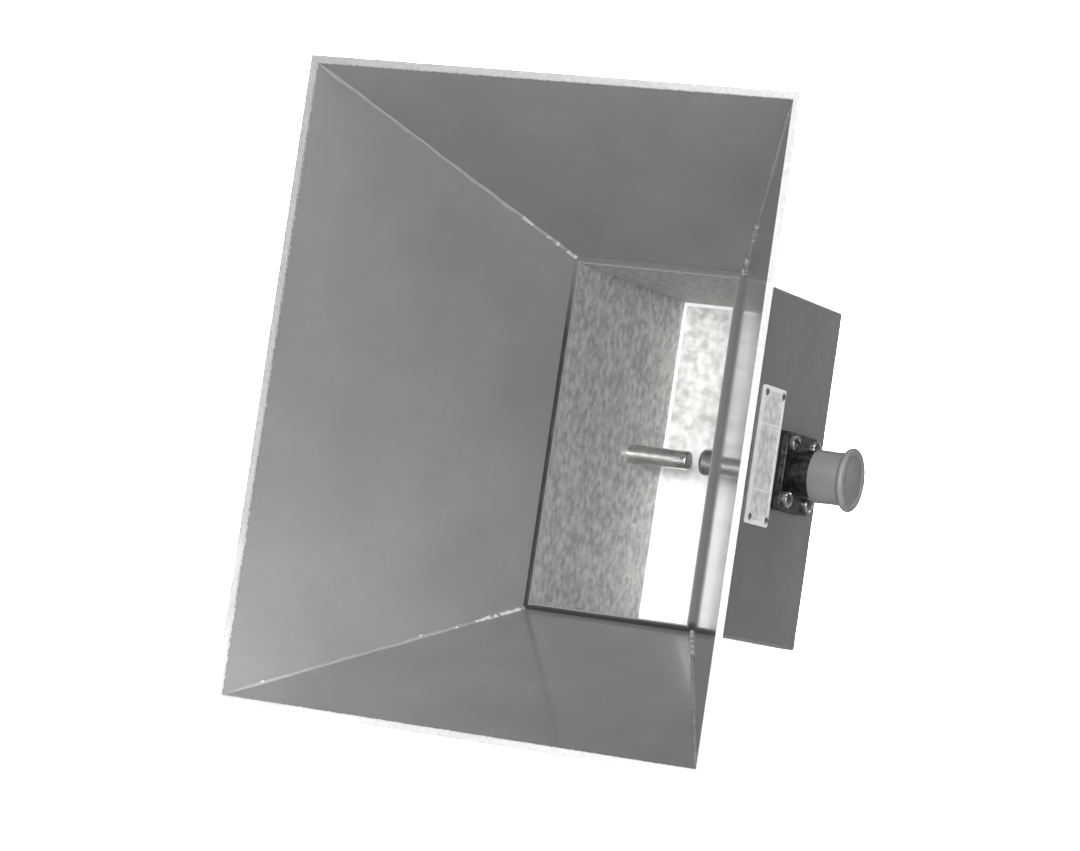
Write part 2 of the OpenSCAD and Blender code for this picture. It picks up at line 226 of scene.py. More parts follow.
def new_material(name, colour, metallic, roughness, **sockets):
    """A material with one Principled shader. Returns the material, its tree and the shader."""
    material = bpy.data.materials.new(name)
    material.use_nodes = True
    tree = material.node_tree
    tree.nodes.clear()
    shader = add(tree, "ShaderNodeBsdfPrincipled")
    shader.inputs["Base Color"].default_value = linear(colour)
    shader.inputs["Metallic"].default_value = metallic
    shader.inputs["Roughness"].default_value = roughness
    for key, value in sockets.items():
        shader.inputs[key.replace("_", " ")].default_value = value
    add(tree, "ShaderNodeOutputMaterial", {"Surface": shader.outputs["BSDF"]})
    return material, tree, shader


def finish_with(tree, shader, colour, roughness, height, depth_mm, strength=1.0):
    """Sends a pattern's colour, roughness and height to the shader."""
    tree.links.new(colour.outputs[2], shader.inputs["Base Color"])
    tree.links.new(roughness.outputs[0], shader.inputs["Roughness"])
    relief = {"Height": height, "Distance": depth_mm * MM, "Strength": strength}
    bump = add(tree, "ShaderNodeBump", relief)
    tree.links.new(bump.outputs["Normal"], shader.inputs["Normal"])


def speckle(tree, size_mm, detail=3.0, rough=0.55, stretch=(1, 1, 1)):
    """Cloudy pattern, 0 to 1, whose blotches are about size_mm across on the piece."""
    seat = add(tree, "ShaderNodeTexCoord").outputs["Object"]
    spread = add(tree, "ShaderNodeMapping", {"Vector": seat, "Scale": stretch})
    cloud = {"Vector": spread, "Scale": 1 / (size_mm * MM), "Detail": detail, "Roughness": rough}
    return add(tree, "ShaderNodeTexNoise", cloud).outputs[0]


def toned(tree, pattern, low, high, dark, light):
    """A colour that goes from dark to light as the pattern goes from low to high."""
    part = add(tree, "ShaderNodeMapRange", {0: pattern, 1: low, 2: high})
    mix = {0: part, 6: linear(dark), 7: linear(light)}
    return add(tree, "ShaderNodeMix", mix, data_type="RGBA")


def sprayed_enamel(tree, dark="#6f6f6f", light="#767676"):
    """Grey oven enamel: large faint clouds, small specks, a soft orange peel of 1.5 mm."""
    cloud = toned(tree, speckle(tree, 40, 2), 0.3, 0.7, dark, light)
    speck = speckle(tree, 4, 4)
    amount = add(tree, "ShaderNodeMapRange", {0: speck, 1: 0.35, 2: 0.75, 4: 0.35})
    inputs = {0: amount, 6: cloud, 7: linear(dark)}
    colour = add(tree, "ShaderNodeMix", inputs, data_type="RGBA")
    roughness = add(tree, "ShaderNodeMapRange", {0: speck, 1: 0.3, 2: 0.7, 3: 0.13, 4: 0.19})
    peel = speckle(tree, 1.5, 1)
    height = add(tree, "ShaderNodeMath", {0: peel, 1: speck}, operation="ADD")
    return colour, roughness, height


def etched_aluminium(tree, dark, light, size_mm=2.6):
    """Bare aluminium after an etch: soft light and dark mottles about 3 mm across."""
    mottle = speckle(tree, size_mm, 1.5, 0.5)
    colour = toned(tree, mottle, 0.3, 0.7, dark, light)
    roughness = add(tree, "ShaderNodeMapRange", {0: mottle, 1: 0.3, 2: 0.7, 3: 0.66, 4: 0.54})
    return colour, roughness, mottle


def over(tree, shader, mask, top, under, metallic_under=1.0, depth_mm=0.03):
    """Where the mask is 1 the surface has the paint on top, and where it is 0 the metal under."""
    colour = {0: mask, 6: under[0], 7: top[0]}
    colour = add(tree, "ShaderNodeMix", colour, data_type="RGBA")
    roughness = add(tree, "ShaderNodeMix", {0: mask, 2: under[1], 3: top[1]})
    metallic = add(tree, "ShaderNodeMix", {0: mask, 2: metallic_under, 3: 0.0})
    height = add(tree, "ShaderNodeMix", {0: mask, 2: under[2], 3: top[2]})
    tree.links.new(metallic.outputs[0], shader.inputs["Metallic"])
    finish_with(tree, shader, colour, roughness, height, depth_mm, 0.5)
    return colour, roughness, height


def enamelled_sheet():
    """Grey semi-gloss enamel on aluminium sheet, filed back to bright metal on the mouth's edge.

    The gloss makes a wall seen at a low angle mirror the guide. The paint starts up to
    0.6 mm behind the cut edge, in a ragged line.
    """
    material, tree, shader = new_material(
        "enamelled_aluminium_sheet", "#757575", 0.0, 0.2, Coat_Weight=0.8, Coat_Roughness=0.08
    )
    seat = add(tree, "ShaderNodeTexCoord").outputs["Object"]
    y = add(tree, "ShaderNodeSeparateXYZ", {0: seat}).outputs[1]
    chips = speckle(tree, 1.1, 3, 0.6)
    ragged = add(
        tree,
        "ShaderNodeMapRange",
        {0: chips, 1: 0.3, 2: 0.75, 3: Y_MOUTH + 0.05 * MM, 4: Y_MOUTH + 0.6 * MM},
    )
    behind = add(tree, "ShaderNodeMath", {0: y, 1: ragged}, operation="SUBTRACT")
    mask = add(tree, "ShaderNodeMapRange", {0: behind, 2: 0.12 * MM})
    bare = toned(tree, chips, 0.3, 0.7, "#f0f0ee", "#ffffff")
    rough = add(tree, "ShaderNodeMapRange", {0: chips, 3: 0.38, 4: 0.5})
    over(tree, shader, mask, sprayed_enamel(tree, "#6c6c6c", "#747474"), (bare, rough, chips))
    return material


def guide_finish():
    """Enamel outside, etched metal inside, and a front end painted dark as shade, with a lighter
    edge.

    The end face carries painted shade, darkest at its foot and on the left. Its inner edge was
    broken with a file and is lighter.
    """
    material, tree, shader = new_material("guide_enamelled_outside", "#999999", 0.0, 0.4)
    seat = add(tree, "ShaderNodeTexCoord").outputs["Object"]
    axes = add(tree, "ShaderNodeSeparateXYZ", {0: seat}).outputs
    across = add(tree, "ShaderNodeMath", {0: axes[0]}, operation="ABSOLUTE")
    up = add(tree, "ShaderNodeMath", {0: axes[2]}, operation="ABSOLUTE")
    skin = 0.5 * (GUIDE_OUT - GUIDE_IN)
    beyond = [
        add(tree, "ShaderNodeMath", {0: a, 1: float(b)}, operation="SUBTRACT")
        for a, b in zip((across, up), GUIDE_IN)
    ]
    # distance out from the bore's edge
    out = add(tree, "ShaderNodeMath", {0: beyond[0], 1: beyond[1]}, operation="MAXIMUM")
    outside = {0: out, 1: float(skin[0])}
    outside = add(tree, "ShaderNodeMath", outside, operation="GREATER_THAN")
    rear = {0: axes[1], 1: -0.1 * MM}
    rear = add(tree, "ShaderNodeMath", rear, operation="GREATER_THAN")
    painted = add(tree, "ShaderNodeMath", {0: outside, 1: rear}, operation="MAXIMUM")
    inside = over(
        tree,
        shader,
        painted,
        sprayed_enamel(tree, "#5e5e5e", "#6a6a6a"),
        etched_aluminium(tree, "#9a9a99", "#c4c4c2"),
        metallic_under=0.35,
    )
    front = {0: axes[1], 1: Y_THROAT + 0.25 * MM}
    front = add(tree, "ShaderNodeMath", front, operation="LESS_THAN")
    edge = {0: out, 1: 0.3 * MM, 2: 0.5 * MM, 3: 0.0, 4: 1.0}
    edge = add(tree, "ShaderNodeMapRange", edge)
    # painted shade on the end face: darkest at the foot and on the left, lighter at the right and
    # the top
    side = {0: axes[0], 1: 0.0, 2: float(GUIDE_IN[0])}
    side = add(tree, "ShaderNodeMapRange", side)
    head = {0: axes[2], 1: 0.6 * float(GUIDE_IN[1]), 2: float(GUIDE_IN[1])}
    head = add(tree, "ShaderNodeMapRange", head)
    foot = {0: axes[2], 1: float(-GUIDE_IN[1]), 2: float(-0.97 * GUIDE_IN[1])}
    foot = add(tree, "ShaderNodeMapRange", foot)
    thin = add(tree, "ShaderNodeMath", {0: side, 1: head}, operation="MAXIMUM")
    thin = add(tree, "ShaderNodeMath", {0: thin, 1: foot}, operation="MULTIPLY")
    # painted shade: the end face's colour runs from near black at the foot to mid grey at the top
    stain_and_shade = {0: thin, 6: linear("#2c2c2c"), 7: linear("#5e5e5e")}
    stain_and_shade = add(tree, "ShaderNodeMix", stain_and_shade, data_type="RGBA")
    ends = {0: edge, 6: linear("#7c7c7b"), 7: stain_and_shade}
    ends = add(tree, "ShaderNodeMix", ends, data_type="RGBA")
    colour = {0: front, 6: inside[0], 7: ends}
    colour = add(tree, "ShaderNodeMix", colour, data_type="RGBA")
    tree.links.new(colour.outputs[2], shader.inputs["Base Color"])
    return material


def short_finish():
    """Etched plate inside, bright and mottled, with painted light: a lit copy low down, a shaded
    copy high up, and a painted highlight line round its edge.
    """
    material, tree, shader = new_material("short_plate_etched_inside", "#dddddd", 1.0, 0.5)
    seat = add(tree, "ShaderNodeTexCoord").outputs["Object"]
    axes = add(tree, "ShaderNodeSeparateXYZ", {0: seat}).outputs
    rear = {0: axes[1], 1: Y_SHORT / 2}
    rear = add(tree, "ShaderNodeMath", rear, operation="GREATER_THAN")
    # painted light: the same etched metal as a shaded copy above and a lit copy below, blended by
    # height
    upper = etched_aluminium(tree, "#b4b4b2", "#e2e2e0", 3.0)
    lower = etched_aluminium(tree, "#ececea", "#ffffff", 3.0)
    shade_by_height = add(tree, "ShaderNodeMapRange", {0: axes[2], 1: -12 * MM, 2: 14 * MM})
    plate = {0: shade_by_height, 6: lower[0], 7: upper[0]}
    etched = (add(tree, "ShaderNodeMix", plate, data_type="RGBA"), upper[1], upper[2])
    across = add(tree, "ShaderNodeMath", {0: axes[0]}, operation="ABSOLUTE")
    up = add(tree, "ShaderNodeMath", {0: axes[2]}, operation="ABSOLUTE")
    short_of = [
        add(tree, "ShaderNodeMath", {0: float(b), 1: a}, operation="SUBTRACT")
        for a, b in zip((across, up), GUIDE_IN)
    ]
    inset = add(tree, "ShaderNodeMath", {0: short_of[0], 1: short_of[1]}, operation="MINIMUM")
    # painted highlight: a white line within about a millimetre of the plate's edge
    line = add(tree, "ShaderNodeMapRange", {0: inset, 1: 0.9 * MM, 2: 1.3 * MM})
    lit = {0: line, 6: linear("#ffffff"), 7: etched[0]}
    lit = add(tree, "ShaderNodeMix", lit, data_type="RGBA")
    under = (lit, etched[1], etched[2])
    over(tree, shader, rear, sprayed_enamel(tree), under, metallic_under=0.3)
    return material


def painted_braze():
    """Aluminium braze under thin enamel, worn through to bright metal near the throat."""
    material, tree, shader = new_material("braze_under_thin_enamel", "#8a8a8a", 0.0, 0.4)
    seat = add(tree, "ShaderNodeTexCoord").outputs["Object"]
    y = add(tree, "ShaderNodeSeparateXYZ", {0: seat}).outputs[1]
    spots = speckle(tree, 3.0, 2, 0.5)
    near = {0: y, 1: Y_THROAT - 45 * MM, 2: Y_THROAT - 8 * MM, 3: -0.2, 4: 0.09}
    near = add(tree, "ShaderNodeMapRange", near)
    worn = add(tree, "ShaderNodeMath", {0: spots, 1: near}, operation="ADD")
    mask = add(tree, "ShaderNodeMapRange", {0: worn, 1: 0.53, 2: 0.58, 3: 1.0, 4: 0.0})
    bare = toned(tree, speckle(tree, 1.2), 0.3, 0.7, "#a8a8a6", "#d8d8d6")
    rough = add(tree, "ShaderNodeMapRange", {0: spots, 3: 0.5, 4: 0.6})
    paint = sprayed_enamel(tree, "#777777", "#868686")
    over(tree, shader, mask, paint, (bare, rough, spots), metallic_under=0.5, depth_mm=0.06)
    return material


def turned_metal(name, dark, light, roughness, pitch_mm=0.35):
    """Metal turned in a lathe along X: feed marks pitch_mm apart, drawn coarse to show."""
    material, tree, shader = new_material(name, light, 1.0, roughness)
    seat = add(tree, "ShaderNodeTexCoord").outputs["Object"]
    marks = {"Vector": seat, "Scale": 1 / (pitch_mm * MM * TURN), "Distortion": 0.6}
    marks = add(tree, "ShaderNodeTexWave", marks, bands_direction="X").outputs[1]
    stain_and_shade = speckle(tree, 4, 4)
    colour = toned(tree, stain_and_shade, 0.35, 0.7, light, dark)
    low, high = roughness - 0.06, roughness + 0.1
    rough = add(tree, "ShaderNodeMapRange", {0: stain_and_shade, 1: 0.3, 2: 0.7, 3: low, 4: high})
    finish_with(tree, shader, colour, rough, marks, 0.01)
    return material


def moulded_polyethylene():
    """Mid-grey polyethylene from a mould: soft sheen, faint flow marks, light scuffs."""
    material, tree, shader = new_material(
        "moulded_grey_polyethylene", "#747474", 0.0, 0.42, IOR=1.51
    )
    flow = toned(tree, speckle(tree, 6, 3, stretch=(0.3, 1, 1)), 0.3, 0.7, "#6a6a6a", "#797979")
    scuff = speckle(tree, 0.9, 4, 0.7)
    amount = add(tree, "ShaderNodeMapRange", {0: scuff, 1: 0.6, 2: 0.8, 4: 0.5})
    inputs = {0: amount, 6: flow, 7: linear("#929292")}
    colour = add(tree, "ShaderNodeMix", inputs, data_type="RGBA")
    rough = add(tree, "ShaderNodeMapRange", {0: scuff, 1: 0.3, 2: 0.7, 3: 0.34, 4: 0.48})
    finish_with(tree, shader, colour, rough, scuff, 0.02)
    return material


def grained(name, dark, light, metallic, roughness, size_mm, depth_mm=0.02, **sockets):
    """A finish with one soft grain that varies its colour, gloss and height."""
    material, tree, shader = new_material(name, light, metallic, roughness, **sockets)
    grain = speckle(tree, size_mm, 4, 0.6)
    colour = toned(tree, grain, 0.35, 0.68, dark, light)
    low, high = roughness - 0.06, roughness + 0.06
    rough = add(tree, "ShaderNodeMapRange", {0: grain, 1: 0.3, 2: 0.7, 3: high, 4: low})
    finish_with(tree, shader, colour, rough, grain, depth_mm)
    return material


def pressed_plate():
    """Bright anodised plate whose sunk fields were etched to a mottled grey."""
    material, tree, shader = new_material("anodised_plate_etched_fields", "#ececea", 0.1, 0.45)
    grain = speckle(tree, 2.8, 2, 0.5)
    sunk = toned(tree, grain, 0.3, 0.7, "#c4c4c2", "#f2f2f0")
    bright = toned(tree, grain, 0.3, 0.7, "#f4f4f2", "#ffffff")
    raised = add(tree, "ShaderNodeAttribute", attribute_name="relief").outputs["Fac"]
    inputs = {0: raised, 6: sunk, 7: bright}
    colour = add(tree, "ShaderNodeMix", inputs, data_type="RGBA")
    rough = add(tree, "ShaderNodeMapRange", {0: raised, 3: 0.6, 4: 0.4})
    finish_with(tree, shader, colour, rough, grain, 0.02)
    return material


FINISHES = {
    "enamel": enamelled_sheet(),
    "braze": painted_braze(),
    "guide": guide_finish(),
    "short": short_finish(),
    "plate": pressed_plate(),
    "rubber": grained("black_sheet_rubber", "#101010", "#1b1b1b", 0.0, 0.7, 0.8),
    "nickel": grained("dulled_nickel_plate", "#2e2e2d", "#5c5c5a", 1.0, 0.4, 1.6),
    "ptfe": grained("white_ptfe", "#e2e2de", "#efefec", 0.0, 0.5, 1.5, IOR=1.35),
    "gold": turned_metal("gold_plated_contact", "#b98a34", "#d8ad55", 0.25),
    "steel": turned_metal("stainless_screw", "#6c6c6a", "#a2a2a0", 0.28, 0.3),
    "polyethylene": moulded_polyethylene(),
    "probe": turned_metal("turned_plated_probe", "#a6a6a4", "#d0d0ce", 0.16),
    "post": turned_metal("turned_aluminium_post", "#c4c4c2", "#ececea", 0.15),
}

NODE_FINISH = {
    "horn_wall_top": "enamel",
    "horn_wall_bottom": "enamel",
    "horn_wall_left": "enamel",
    "horn_wall_right": "enamel",
    "corner_seams": "braze",
    "lap_seam": "enamel",
    "waveguide_tube": "guide",
    "short_plate": "short",
    "data_plate": "plate",
    "plate_pins": "steel",
    "jack_gasket": "rubber",
    "jack_body": "nickel",
    "jack_insulator": "ptfe",
    "jack_contact": "gold",
    "jack_screws": "steel",
    "jack_washers": "steel",
    "dust_cap": "polyethylene",
    "feed_probe": "probe",
    "tuning_post": "post",
    "post_screw": "steel",
    "post_washer": "steel",
}
for node_name, finish in NODE_FINISH.items():
    slots = NODES[node_name].data.materials
    slots.clear()
    slots.append(FINISHES[finish])


def fitted(name, shape, finish, node, body="horn"):
    """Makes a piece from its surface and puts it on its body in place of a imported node."""
    piece = mesh_piece(name, *shape, FINISHES[finish])
    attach(piece, body)
    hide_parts(node)
    return piece


# ---- Beads of the horn ----


def corner_bead(side, level, seed):
    """A lumpy rod of braze in one inner corner, with the rings in planes across the boresight.

    Ring y has its centre on the corner line, at the guide's outer corner at the throat and
    at the mouth's inner corner in front. Its radius is 0.7 mm plus two sets of waves, a
    third more at the throat and tapered at the mouth, and the centre strays sideways by
    up to 0.2 mm.
    """
    rings, steps = 420, 14
    y = np.linspace(Y_MOUTH + BEAD_SETBACK, Y_THROAT, rings)[:, None]
    along = (Y_THROAT - y) / FLARE
    slope = (MOUTH_OUT - GUIDE_OUT) / FLARE
    inner = MOUTH_OUT - SHEET / np.cos(np.arctan(slope))
    x = GUIDE_OUT[0] + (inner[0] - GUIDE_OUT[0]) * along
    z = GUIDE_OUT[1] + (inner[1] - GUIDE_OUT[1]) * along
    wide, fine = waves(seed, 4, 60, 260), waves(seed + 7, 5, 700, 2200)
    radius = (0.7 + 0.25 * wide(y) + 0.14 * fine(y)) * MM
    radius = radius * (1 + 0.3 * np.exp(-((y - Y_THROAT) / (14 * MM)) ** 2))
    radius = radius * np.clip((y - Y_MOUTH) / (6 * MM), 0.15, 1)
    turn = (np.arange(steps) * TURN / steps)[None, :]
    x = x + BEAD_STRAY * waves(seed + 3, 4, 100, 600)(y) + radius * np.cos(turn)
    z = z + BEAD_STRAY * waves(seed + 5, 4, 100, 600)(y) + radius * np.sin(turn)
    grid = np.stack([side * x, np.broadcast_to(y, x.shape), level * z], -1)
    ends = grid[[0, -1]].mean(1, keepdims=True).repeat(steps, 1)
    grid = np.concatenate([ends[:1], grid, ends[1:]])
    return grid.reshape(-1, 3), grid_faces(rings + 2, steps, False, True)


def lap_bead():
    """The braze that closes the lap round the guide: a rippled fillet carried round a loop.

    At a place on the loop the section goes from the guide's skin behind the lap up to the
    sheets' outer edge, bulged by a half sine, and closes under the sheet. Overlapping
    ripples 2.6 mm long ride on it.
    """
    count, steps = 1200, 8
    turn = np.linspace(0, TURN, count, endpoint=False)

    def loop(half, power):
        """A rectangle with rounded corners: the power sum of both directions is one."""
        a, b = half
        c, s = np.cos(turn) / a, np.sin(turn) / b
        r = (np.abs(c) ** power + np.abs(s) ** power) ** (-1 / power)
        return np.stack([r * np.cos(turn), r * np.sin(turn)], 1)

    skin = loop(GUIDE_OUT, 40)
    rim = loop(GUIDE_OUT + 0.92 * SHEET, 60)
    step = np.linalg.norm(np.roll(skin, -1, 0) - skin, axis=1)
    run = np.cumsum(step)
    ripple = 1 - ((run / RIPPLE_LENGTH + 0.2 * waves(31, 3, 40, 200)(run)) % 1) ** 2
    reach = (1.15 + 0.35 * ripple + 0.1 * waves(33, 4, 30, 150)(run)) * MM
    v = np.linspace(0, 1, steps)
    bulge = (0.22 + 0.16 * ripple)[:, None] * MM * np.sin(math.pi * v)[None, :]
    xz = skin[:, None, :] + (rim - skin)[:, None, :] * v[None, :, None]
    y = Y_LAP + reach[:, None] * (1 - v)[None, :] + bulge
    grid = np.concatenate([xz[..., :1], y[..., None], xz[..., 1:]], -1)
    under = np.stack([skin[:, 0], np.full(count, Y_LAP), skin[:, 1]], 1)
    under = under - 0.1 * MM * np.array([0, 1, 0])
    grid = np.concatenate([grid, under[:, None, :]], 1)
    return grid.reshape(-1, 3), grid_faces(count, steps + 1, True, True)


beads = joined([corner_bead(i, j, 11 + 2 * i + j) for i in (-1, 1) for j in (-1, 1)])
fitted("corner_braze_beads", beads, "braze", "corner_seams")
fitted("lap_braze_bead", lap_bead(), "enamel", "lap_seam")


# ---- Jack, its cap and its screws ----


def flange_plate():
    """The jack's square flange: a ring from the neck out to a superellipse of power 22.

    The radius in a direction is the half width over the power sum of its cosine and sine.
    The edge is rounded by 0.35 mm in three steps.
    """
    half, soft, steps = (JACK_HIGH.z - JACK_LOW.z) / 2, FLANGE_EDGE, 240
    turn = np.arange(steps) * TURN / steps
    power = 22
    unit = (np.abs(np.cos(turn)) ** power + np.abs(np.sin(turn)) ** power) ** (-1 / power)
    lower = arc((X_SEAT + soft, half - soft), soft, 180, 90, 4)
    upper = arc((X_FLANGE - soft, half - soft), soft, 90, 0, 4)
    rows = [(X_SEAT, None)] + lower.tolist() + upper.tolist() + [(X_FLANGE, None)]
    grid = []
    for x, reach in rows:
        r = np.full(steps, 0.9 * NECK_RADIUS) if reach is None else reach * unit
        across = [np.full(steps, x), Y_FEED + r * np.cos(turn), r * np.sin(turn)]
        grid.append(np.stack(across, 1))
    return np.array(grid).reshape(-1, 3), grid_faces(len(rows), steps, True, True)


def jack_stem():
    """Neck, thread and bore of the jack as one turned ring.

    Over the thread the radius falls by THREAD_DEPTH in a triangle wave of the distance
    along the axis less one pitch for each turn, and it runs out at both ends.
    """
    start, end = X_JACK - THREAD_LENGTH, X_JACK - 0.5 * MM
    rows = np.linspace(start, end, 130)
    outer = [(X_SEAT, NECK_RADIUS), (start - 0.4 * MM, NECK_RADIUS)]
    outer += [(x, THREAD_RADIUS) for x in rows]
    mouth = [(X_JACK, THREAD_RADIUS - 0.6 * MM), (X_JACK, BORE_RADIUS + 0.7 * MM)]
    bore = [(X_JACK - 0.7 * MM, BORE_RADIUS), (X_JACK - BORE_DEPTH, BORE_RADIUS)]
    hole = [(X_JACK - BORE_DEPTH, INSULATOR_HOLE), (X_SEAT, INSULATOR_HOLE)]

    def cut_thread(x, r, turn):
        wave = np.abs(((x / THREAD_PITCH - turn / TURN) % 1) * 2 - 1)
        fade = np.clip((x - start) / THREAD_PITCH, 0, 1) * np.clip((end - x) / THREAD_PITCH, 0, 1)
        on_thread = r > THREAD_RADIUS - 1e-6
        return x, r - on_thread * (THREAD_DEPTH * wave * fade + 0.25 * MM * (1 - fade))

    return turned(outer + mouth + bore + hole, 96, shape=cut_thread, ring=True)


def dust_cap():
    """Cap turned from its half section: skirt with a small draft, rolled rim, sunk end.

    The rim is a near half circle, the skirt flares into it by a quarter circle, and two
    shallow steps on the sunk end are left by the mould.
    """
    rim = (CAP_HIGH.z - CAP_LOW.z) / 2
    roll = 1.25 * MM
    x0, x1 = CAP_LOW.x, CAP_HIGH.x
    lip = arc((x0 + 0.3 * MM, CAP_RADIUS - 0.3 * MM), 0.3 * MM, 180, 90, 4)
    flare = arc((x1 - 2 * roll - 0.9 * MM, CAP_RADIUS + 0.9 * MM), 0.9 * MM, -90, 0, 6)
    edge = arc((x1 - roll, rim - roll), roll, 160, 0, 14)
    face = [(x1, rim - 1.6 * MM), (x1 - 0.08 * MM, rim - 2.1 * MM)]
    face += [(x1 - 0.5 * MM, rim - 2.5 * MM), (x1 - 0.5 * MM, rim - 5.4 * MM)]
    face += [(x1 - 0.36 * MM, rim - 5.7 * MM), (x1 - 0.36 * MM, 0.0)]
    inner = [(x1 - CAP_END, 0.0), (x1 - CAP_END, CAP_BORE - 0.4 * MM)]
    inner += [(x1 - CAP_END - 0.4 * MM, CAP_BORE), (x0 + 0.2 * MM, CAP_BORE)]
    inner += [(x0, CAP_BORE + 0.15 * MM)]
    outer = lip.tolist() + [(x0 + 3 * MM, CAP_RADIUS + 0.01 * MM)]
    loop = outer + flare.tolist() + edge.tolist() + face
    return turned(loop + inner, 128, ring=True)


def slotted_screw(base, head, height, shank, length, centre, facing, slot_turn):
    """A round-headed screw along X: a dome over a straight side, with a slot across it.

    The dome's height falls with the square of the radius. Inside half the slot's width
    from its middle line the height drops to the slot's floor.
    """
    radii = np.linspace(0, 1, 26)
    dome = [(height * (0.35 + 0.65 * math.sqrt(1 - 0.96 * q * q)), head * q) for q in radii]
    side = [(0.08 * MM, head), (0.0, head - 0.08 * MM), (0.0, shank), (-length, shank)]
    profile = dome + side + [(-length - 0.3 * shank, 0.0)]

    def cut_slot(x, r, turn):
        off = np.abs(r * np.sin(turn - slot_turn))
        wall = np.clip((off - 0.5 * SLOT_WIDTH) / (0.07 * MM), 0, 1)
        floor = height - SLOT_DEPTH
        cut = np.where(x > floor, floor + (x - floor) * wall, x)
        return base + facing * cut, r

    return turned(profile, 72, centre, cut_slot)


jack = joined([flange_plate(), jack_stem()])
fitted("jack_shell", jack, "nickel", "jack_body")
fitted("dust_cap_moulding", dust_cap(), "polyethylene", "dust_cap", "cap")

screw_reach = (SCREW_HIGH.z - SCREW_LOW.z) / 2 - FLANGE_HEAD
head_radius = (REAR_HIGH.z - REAR_LOW.z) / 2
screws = [
    slotted_screw(
        WASHER_HIGH.x,
        FLANGE_HEAD,
        SCREW_HIGH.x - WASHER_HIGH.x,
        FLANGE_SHANK,
        WASHER_HIGH.x - SCREW_LOW.x - 0.5 * MM,
        (Y_FEED + i * screw_reach, j * screw_reach),
        1,
        0.5 + 1.3 * i + 0.4 * j,
    )
    for i in (-1, 1)
    for j in (-1, 1)
]
fitted("jack_flange_screws", joined(screws), "steel", "jack_screws")
rear_screw = slotted_screw(
    REAR_LOW.x + REAR_HEAD,
    head_radius,
    REAR_HEAD,
    REAR_SHANK,
    REAR_HIGH.x - REAR_LOW.x - 2.4 * MM,
    (Y_FEED, 0.0),
    -1,
    0.7,
)
fitted("post_fixing_screw", rear_screw, "steel", "post_screw")


# ---- Probe and post in the guide ----


def probe():
    """Turned probe with a rounded nose, a shallow groove at its root and a thin stem."""
    r, nose = (PROBE_HIGH.z - PROBE_LOW.z) / 2, 2.0 * MM
    root = float(GUIDE_IN[0]) - 1.0 * MM
    tip = arc((PROBE_LOW.x + nose, r - nose), nose, 180, 90, 10).tolist()
    groove = [(root - 1.6 * MM, r), (root - 1.4 * MM, r - 0.2 * MM)]
    groove += [(root - 1.0 * MM, r - 0.2 * MM), (root - 0.8 * MM, r)]
    groove += [(root - 0.15 * MM, r), (root, r - 0.15 * MM)]
    stem = [(root, PROBE_STEM), (PROBE_HIGH.x, PROBE_STEM), (PROBE_HIGH.x, 0.0)]
    return turned([(PROBE_LOW.x, 0.0)] + tip + groove + stem, 96)


def post():
    """Turned post with a broken edge at its tip and a small centre hole left by the lathe."""
    r, tip = (POST_HIGH.z - POST_LOW.z) / 2, POST_HIGH.x
    end = [(tip - 0.9 * MM, 0.0), (tip, 0.7 * MM), (tip, r - 0.5 * MM)]
    end += arc((tip - 0.5 * MM, r - 0.5 * MM), 0.5 * MM, 0, 90, 6).tolist()
    return turned(end + [(POST_LOW.x, r), (POST_LOW.x, 0.0)], 96)


fitted("feed_probe_turning", probe(), "probe", "feed_probe")
fitted("tuning_post_turning", post(), "post", "tuning_post")


# ---- Data plate, left blank ----


def plate_relief(y, z, half_y, half_z):
    """Height from 0 to 1: a raised border, two cross bars, and low mounds in blank fields."""
    edge = np.minimum(half_y - np.abs(y), half_z - np.abs(z)) / MM
    border = np.clip((1.7 - edge) / 0.25, 0, 1)
    inner = np.clip((edge - 2.6) / 0.2, 0, 1) * np.clip((3.0 - edge) / 0.2, 0, 1)
    bars = [np.clip((0.45 * MM - np.abs(z - k * half_z)) / (0.2 * MM), 0, 1) for k in (-0.5, 0.45)]
    bars = np.maximum.reduce(bars) * (edge > 1.6)
    boss = np.hypot(np.abs(y) - (half_y - 2.2 * MM), np.abs(z) - (half_z - 2.2 * MM)) / MM
    boss = np.clip((1.7 - boss) / 0.3, 0, 1)
    return np.clip(np.maximum.reduce([border, 0.8 * inner, bars, boss]), 0, 1)


